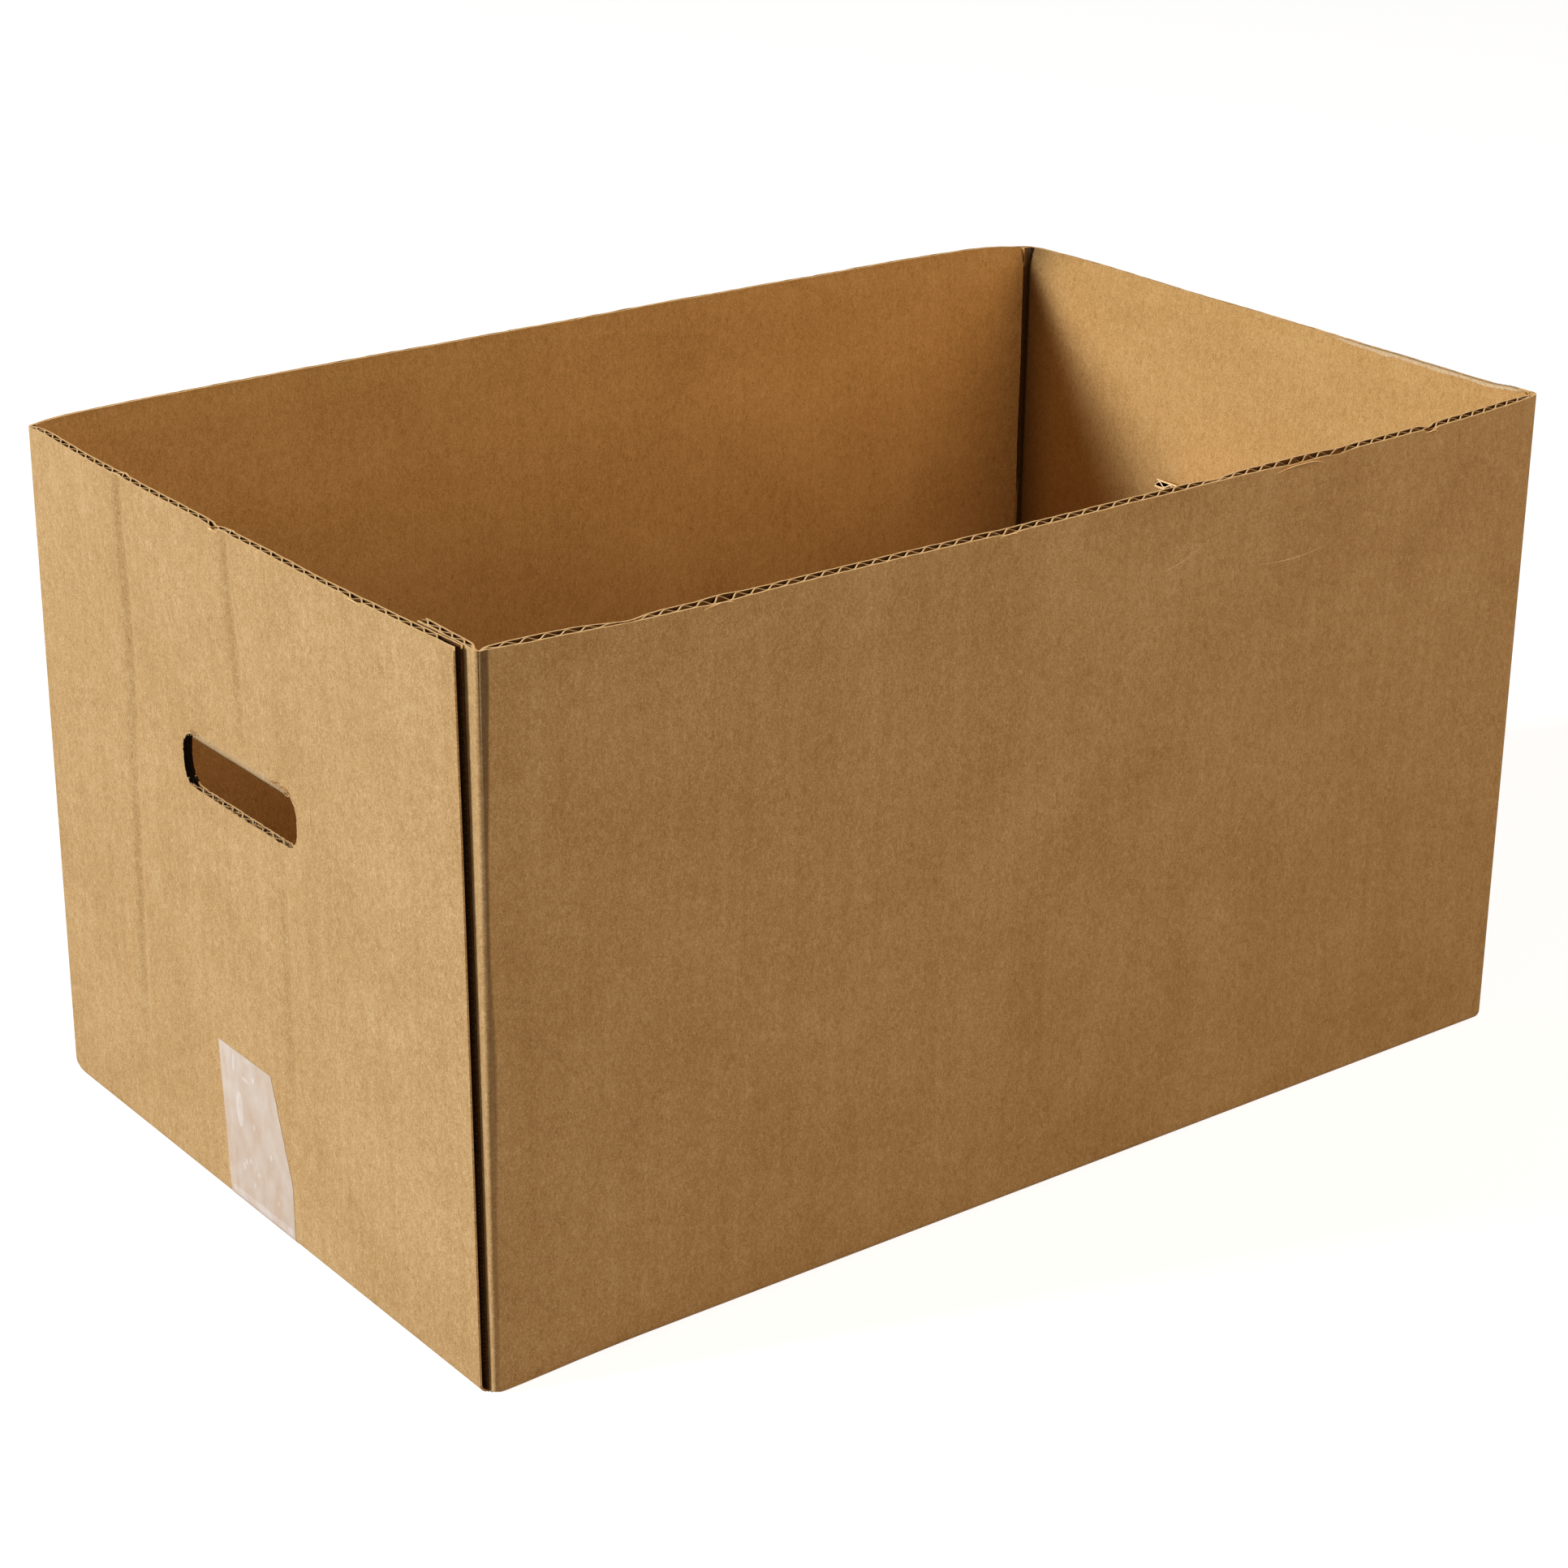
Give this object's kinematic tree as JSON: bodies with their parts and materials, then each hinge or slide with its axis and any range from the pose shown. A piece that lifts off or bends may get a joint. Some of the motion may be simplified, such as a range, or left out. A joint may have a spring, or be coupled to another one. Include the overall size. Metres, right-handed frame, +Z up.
{
  "type": "open-top corrugated carton",
  "caption": "Open-top kraft carton of corrugated board with a raw fluted rim, taped bottom flaps, and a hand hole with a push-in flap in each end wall.",
  "frame": {"origin": "on the floor, under the centre of the carton", "axes": "+X along the length towards the far end, +Z up; the glued lap is at the corner at -X and -Y"},
  "size_m": [0.55, 0.34, 0.3],
  "materials": {
    "kraft_board": "uncoated brown kraft liner, matte",
    "packing_tape": "translucent polypropylene film, slightly wrinkled"
  },
  "bodies": {
    "carton": {"carton_blank": "kraft_board", "bottom_tape": "packing_tape"},
    "near_flap": {"near_hand_flap": "kraft_board"},
    "far_flap": {"far_hand_flap": "kraft_board"}
  },
  "joints": [
    {"name": "near_flap_fold", "type": "hinge", "parent": "carton", "child": "near_flap", "pos_m": [-0.271, 0, 0.204], "axis": [0, -1, 0], "range_deg": [-112, 58]},
    {"name": "far_flap_fold", "type": "hinge", "parent": "carton", "child": "far_flap", "pos_m": [0.271, 0, 0.204], "axis": [0, 1, 0], "range_deg": [-112, 58]}
  ]
}
